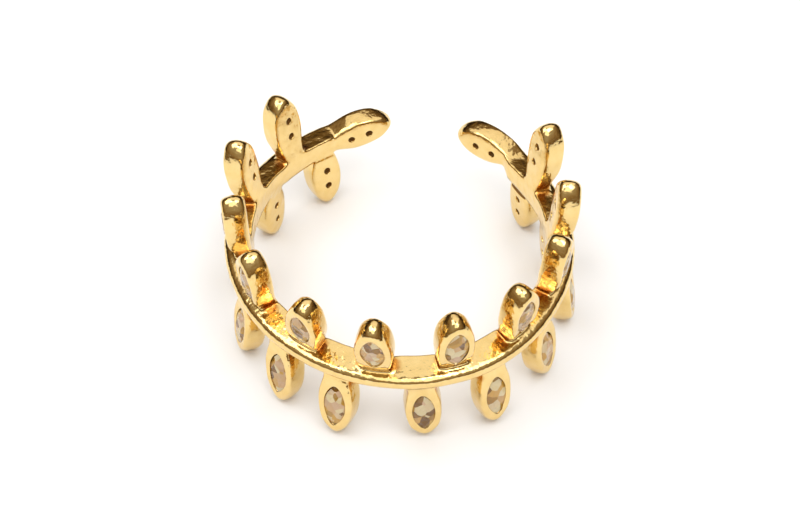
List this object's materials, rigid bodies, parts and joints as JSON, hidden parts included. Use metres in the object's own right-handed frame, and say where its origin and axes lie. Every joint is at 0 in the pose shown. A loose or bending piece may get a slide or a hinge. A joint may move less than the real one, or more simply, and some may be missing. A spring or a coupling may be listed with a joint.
{
  "type": "open laurel cuff ring",
  "caption": "Open finger ring shaped as a laurel twig: a gold-plated cast band with leaf settings standing above and hanging below it by turns, each with a clear pointed-oval stone.",
  "frame": {"origin": "centre of the ring's box, on the table plane under the tips of the lower leaves", "axes": "+Z along the finger and up from the table, -Y to the front with the middle leaf, +Y to the open ends, +X to the right seen from the front"},
  "size_m": [0.0212, 0.0216, 0.0097],
  "materials": {
    "gold_plate": "polished",
    "crystal": "polished"
  },
  "bodies": {
    "root": {"laurel_band": "gold_plate", "stone_upper_01": "crystal", "stone_upper_02": "crystal", "stone_upper_03": "crystal", "stone_upper_04": "crystal", "stone_upper_05": "crystal", "stone_upper_06": "crystal", "stone_upper_07": "crystal", "stone_upper_08": "crystal", "stone_upper_09": "crystal", "stone_upper_10": "crystal", "stone_upper_11": "crystal", "stone_lower_01": "crystal", "stone_lower_02": "crystal", "stone_lower_03": "crystal", "stone_lower_04": "crystal", "stone_lower_05": "crystal", "stone_lower_06": "crystal", "stone_lower_07": "crystal", "stone_lower_08": "crystal", "stone_lower_09": "crystal", "stone_lower_10": "crystal", "stone_lower_11": "crystal", "stone_lower_12": "crystal", "stone_end_left": "crystal", "stone_end_right": "crystal"}
  },
  "joints": []
}
